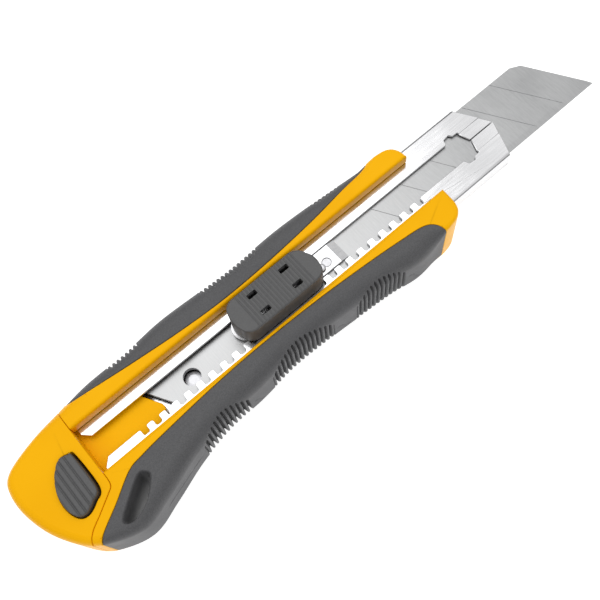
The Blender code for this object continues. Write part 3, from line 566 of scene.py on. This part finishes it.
channelValues = {"rear": -0.0573, "nose": 0.0710, "outerRadius": 0.0009, "innerRadius": 0.0003,
                 "lip": 0.0032, "chamfer": 0.0018, "window": 0.0620, "notches": 25, "firstNotch": -0.0455,
                 "notchPitch": 0.0036, "notchHalf": 0.00085, "notchRoot": 0.0005, "notchFlare": 0.00045,
                 "notchFloor": -0.0050, "press": 0.00022, "bevel": 0.00010}


def makeChannel(v):
    half, sheet = handle["channelHalf"], handle["sheet"]
    low, high = handle["channelBottom"], handle["channelTop"]
    rear, nose = v["rear"], v["nose"]
    outer = roundedSection(half, low, high, v["outerRadius"])
    inner = roundedSection(half - sheet, low + sheet, high - sheet, v["innerRadius"])
    shell = [[(x, y, z) for y, z in outer] for x in (rear, nose + 0.001)]
    channel = newObject("channel_sheet", skinRings(shell))
    hollow = newObject("c", skinRings([[(x, y, z) for y, z in inner] for x in (rear - 0.001, nose + 0.002)]))
    carve(channel, hollow)
    keep = [(rear, -0.011), (nose - 0.0040, -0.011), (nose - 0.0040, -half), (nose, 0.0),
            (nose - 0.0058, half), (nose - 0.0058, 0.011), (rear, 0.011)]
    carve(channel, prism("c", keep, handle["below"], handle["above"]), "INTERSECT")
    lip, chamfer, window = v["lip"], v["chamfer"], v["window"]
    side = [(rear - 0.001, -lip - chamfer), (rear, -lip - chamfer), (rear + chamfer, -lip), (0.0572, -lip),
            (0.0578, -0.0046), (0.0597, -0.0049), (0.0603, -0.0040), (window, -0.0039), (window, -0.0030)]
    opening = side + [(0.0631, 0.0)] + [(x, -y) for x, y in reversed(side)]
    under = high - sheet
    carve(channel, prism("c", opening, under - sheet, handle["above"]))
    carve(channel, block("c", 0.0621, nose + 0.002, 0.0, 0.0003, under - sheet, handle["above"]))
    bm = bmesh.new()
    wide, root, spread, floor = v["notchHalf"], v["notchRoot"], v["notchFlare"], v["notchFloor"]
    turns = [math.pi / 2 * i / 4 for i in range(5)]
    tooth = [(wide - root, floor)]
    tooth += [(wide - root + root * math.sin(t), floor + root * (1 - math.cos(t))) for t in turns[1:]]
    flare = [(wide + spread * (1 - math.cos(t)), -lip - spread + spread * math.sin(t)) for t in turns]
    right = tooth + flare + [(wide + spread, -lip + 0.001)]
    shape = right + [(-x, y) for x, y in reversed(right)]
    for i in range(v["notches"]):
        x = v["firstNotch"] + v["notchPitch"] * i
        skinRings([[(x + dx, y, z) for dx, y in shape] for z in (under - sheet, high + 0.001)], bm)
    carve(channel, newObject("c", bm))
    for x, y in rivetPlaces:
        hole = circle(x, y, handle["rivetHole"], 24)
        carve(channel, prism("c", hole, handle["below"], low + sheet + 0.001))
    pressed, end = high - v["press"], nose + 0.002
    band = [(window, pressed), (end, pressed), (end, high + 0.001), (window, high + 0.001)]
    press = [[(x, s * 0.0034, z) for x, z in band] for s in (-1, 1)]
    carve(channel, newObject("c", skinRings(press)))
    soften(channel, v["bevel"], 2)
    shade(channel, 30)
    return finishPiece(channel, sheetSteel, "handle", "stainless", "blade_channel")


makeChannel(channelValues)


def ribbedButton(name, outline, base, top, ribs, corner, columns=360):
    x0, x1 = min(x for x, _ in outline) + 1e-6, max(x for x, _ in outline) - 1e-6
    rings = []
    for i in range(columns + 1):
        t = i / columns
        ease = 0.5 - 0.5 * math.cos(math.pi * t)
        x = x0 + (x1 - x0) * (0.35 * ease + 0.65 * t)
        span = spanAt(outline, x)
        if span is None:
            continue
        low, high = span
        groove = 0.0
        if ribs["from"] < x < ribs["to"]:
            wave = 0.5 - 0.5 * math.cos(2 * math.pi * (x - ribs["from"]) / ribs["pitch"])
            groove = ribs["depth"] * wave ** ribs["sharp"]
        radius = min(corner, (high - low) * 0.45)
        end = min(x - x0, x1 - x)
        sunk = 0.0
        if end < corner:
            sunk = corner - math.sqrt(max(corner ** 2 - (corner - end) ** 2, 0))
        crest = top - sunk - groove
        ring = []
        for sy, edge in ((1, high), (-1, low)):
            arc = []
            for k in range(6):
                turn = math.pi / 2 * k / 5
                y = edge - sy * radius * (1 - math.cos(turn))
                arc.append((x, y, crest - radius * (1 - math.sin(turn))))
            wall = [(x, edge, base + (crest - radius - base) * k / 4) for k in range(4)]
            piece = wall + arc
            ring += piece if sy > 0 else piece[::-1]
        rings.append(ring)
    return newObject(name, skinRings(rings))


sliderValues = {"half": 0.00495, "corner": 0.0026, "bulge": 0.0012, "front": 0.0096, "rear": -0.0150,
                "base": 0.01285, "top": 0.0192, "edge": 0.00045, "middle": -0.0022, "socketX": 0.00484,
                "socketY": 0.00255,
                "ribs": {"from": -0.0110, "to": 0.0067, "pitch": 0.000983, "depth": 0.00012, "sharp": 2.5}}


def sliderShape(v):
    half, corner, bulge = v["half"], v["corner"], v["bulge"]
    straight = half - corner
    radius = (straight ** 2 + (bulge / 2) ** 2) / bulge
    spread = math.asin(straight / radius)
    ends, corners = [], []
    for sign, tip in ((1, v["front"]), (-1, v["rear"])):
        points = []
        for i in range(17):
            turn = spread * (i / 8 - 1)
            points.append((tip - sign * radius * (1 - math.cos(turn)), sign * radius * math.sin(turn)))
        startX, startY = points[-1]
        endX = tip - sign * (corner + bulge)
        reach = corner + bulge - abs(tip - startX)
        for i in range(1, 13):
            turn = math.pi / 2 * i / 12
            rise = (sign * half - startY) * math.sin(turn)
            points.append((endX + sign * reach * math.cos(turn), startY + rise))
        ends.append(points)
        corners.append([(x, -y) for x, y in reversed(points[-12:])])
    return ends[0] + corners[1] + ends[1] + corners[0]


def makeSlider(v):
    shape = []
    for x, y in sliderShape(v):  # the lower front corner reaches further forward
        shape.append((x + fade(x, 0.0030, v["front"]) * (0.0005 - 0.0006 * y / v["half"]), y))
    button = ribbedButton("slide_button_ribbed", shape, v["base"], v["top"], v["ribs"], v["edge"])
    carve(button, block("c", -0.0134, 0.0080, -0.0036, 0.0036, 0.0120, 0.0176))
    socket = roundedSection(0.00130, -0.00065, 0.00065, 0.0002, 3)
    for sx in (-1, 1):
        for sy in (-1, 1):
            x, y = v["middle"] + sx * v["socketX"], sy * v["socketY"]
            carve(button, prism("c", [(x + a, y + b) for a, b in socket], 0.0170, 0.020))
    shade(button, 32)
    return finishPiece(button, grayPlastic, "carriage", "gray_hard", "slide_button")


makeSlider(sliderValues)


capValues = {"tongueHalf": 0.0089, "tongueLow": 0.0083, "tongueHigh": 0.0106, "recessGap": 0.00035,
             "recessFloor": 0.0100, "spring": (-0.0645, -0.0045), "springWell": 0.0028, "bevel": 0.00014}


def makeCap(v):
    low, high = handle["below"], handle["above"]
    cap = handleSlab("cap_shell")
    half = v["tongueHalf"]
    # the tongue's front edge follows the slant of the spare blade's tail
    tail = 0.0988 - 0.0425 - 0.0995 - 0.0013
    cornerX = tail + (0.0090 + 0.0010) / math.tan(math.radians(60))
    tongue = [(-0.0600, -half), (-0.0412, -half), (-0.0406, -half + 0.0006), (-0.0406, -0.0044),
              (-0.0400, -0.0039),
              (cornerX - 0.0009, -0.0035), (cornerX - 0.0002, -0.0027), (cornerX + 0.0001, -0.0018),
              (cornerX, -0.0010), (tail + 0.0002, half), (-0.0600, half)]
    shape = curveThrough(capButtonShape, 8)
    recess = [(x + 0.0002, y - 0.0001) for x, y in inset(shape, [-v["recessGap"]] * len(shape))]
    carve(cap, prism("c", recess, v["recessFloor"], high))
    carve(cap, prism("c", seamSide(-handle["line"], 0.060), low, high))
    plate = prism("c", tongue, v["tongueLow"], v["tongueHigh"])
    soften(plate, 0.00025)
    carve(cap, plate, "UNION")
    carve(cap, prism("c", circle(*v["spring"], v["springWell"]), 0.0050, 0.0105))
    carve(cap, block("c", -0.0660, -0.0570, -0.0124, -0.0106, 0.0100, 0.0143))
    soften(cap, v["bevel"])
    holdInside(cap)
    shade(cap)
    return finishPiece(cap, yellowCap, "cap", "yellow_abs", "end_cap")


capButtonValues = {"base": 0.0118, "top": 0.0172, "edge": 0.0006, "spring": (-0.0645, -0.0045),
                   "seat": 0.0026,
                   "ribs": {"from": -0.0680, "to": -0.0620, "pitch": 0.0015, "depth": 0.00026, "sharp": 4.0}}


def makeCapButton(v):
    base, shape = v["base"], curveThrough(capButtonShape, 12)[::-1]
    button = ribbedButton("cap_button_ribbed", shape, base, v["top"], v["ribs"], v["edge"], 160)
    carve(button, block("c", -0.0650, -0.0586, -0.0121, -0.0109, base, 0.0130), "UNION")
    carve(button, block("c", -0.0595, -0.0586, -0.0121, -0.0109, 0.0125, 0.0140), "UNION")
    carve(button, prism("c", circle(*v["spring"], v["seat"]), 0.0110, 0.0135))
    shade(button, 35)
    return finishPiece(button, grayPlastic, "cap_latch", "gray_hard", "cap_button")


makeCap(capValues)
makeCapButton(capButtonValues)


finishes = {
    "cutting_blade": bladeSteel, "spare_blade_1": bladeSteel, "spare_blade_2": bladeSteel,
    "blade_carrier": plateSteel, "pawl_keeper": plateSteel, "lock_pawl": plateSteel,
    "blade_stud": springSteel, "keeper_rivet": springSteel, "pawl_spring": springSteel,
    "magazine_spring": springSteel, "cap_button_spring": springSteel,
    "front_rivet": springSteel, "rear_rivet": springSteel,
}
for name, material in finishes.items():
    for place in nodes[name].material_slots:
        place.material = material
print("metal parts finished")


def makeFloor():
    bpy.ops.mesh.primitive_plane_add(size=30, location=(0, 0, -0.0004))
    floor = bpy.context.object
    floor.name = "studio_floor"
    paper = bpy.data.materials.new("white_paper")
    paper.use_nodes = True
    shader = paper.node_tree.nodes["Principled BSDF"]
    shader.inputs["Base Color"].default_value = (0.55, 0.55, 0.55, 1)
    shader.inputs["Roughness"].default_value = 0.9
    shader.inputs["Specular IOR Level"].default_value = 0.1
    shader.inputs["Emission Color"].default_value = (1, 1, 1, 1)
    shader.inputs["Emission Strength"].default_value = 0.82
    floor.data.materials.append(paper)


def softbox(name, place, size, power):
    lamp = bpy.data.lights.new(name, "AREA")
    lamp.size = size
    lamp.energy = power
    holder = bpy.data.objects.new(name, lamp)
    bpy.context.scene.collection.objects.link(holder)
    holder.location = place
    holder.rotation_euler = (-Vector(place)).to_track_quat("-Z", "Y").to_euler()


def makeStudio():
    softbox("top_softbox", (0.06, 0.26, 0.72), 0.55, 1.25)
    world = bpy.data.worlds.new("studio")
    bpy.context.scene.world = world
    world.use_nodes = True
    kit = Sock(world.node_tree)
    around = kit.node("ShaderNodeTexCoord", None, None, 0)
    height = kit.node("ShaderNodeSeparateXYZ", None, {0: around}, 2)
    glow = kit.node("ShaderNodeMapRange", {"interpolation_type": "SMOOTHSTEP"},
                    {0: height, 1: 0.10, 2: 0.85, 3: 0.16, 4: 1.02})
    backdrop = world.node_tree.nodes["Background"]
    backdrop.inputs[0].default_value = (1, 1, 1, 1)
    kit.tree.links.new(glow.socket, backdrop.inputs[1])
    bpy.context.scene.view_settings.view_transform = "Standard"


def makeCamera():
    view = {"azimuth": -31.466, "elevation": 68.202, "roll": -10.144, "distance": 0.20066,
            "target": (0.00193, -0.00345, 0.0115), "lens": 49.886}
    camera = bpy.data.objects.new("camera", bpy.data.cameras.new("camera"))
    bpy.context.scene.collection.objects.link(camera)
    bpy.context.scene.camera = camera
    a, e, r = (math.radians(view[k]) for k in ("azimuth", "elevation", "roll"))
    back = Vector((math.sin(a) * math.cos(e), -math.cos(a) * math.cos(e), math.sin(e)))
    right = (-back).cross(Vector((0, 0, 1))).normalized()
    up = right.cross(-back)
    camX = right * math.cos(r) + up * math.sin(r)
    camY = up * math.cos(r) - right * math.sin(r)
    place = Vector(view["target"]) + back * view["distance"]
    camera.matrix_world = Matrix((
        (camX.x, camY.x, back.x, place.x),
        (camX.y, camY.y, back.y, place.y),
        (camX.z, camY.z, back.z, place.z),
        (0, 0, 0, 1),
    ))
    camera.data.lens = view["lens"]
    camera.data.sensor_width = 36
    camera.data.clip_start = 0.001


makeFloor()
makeStudio()
makeCamera()
print("floor, light and camera placed")
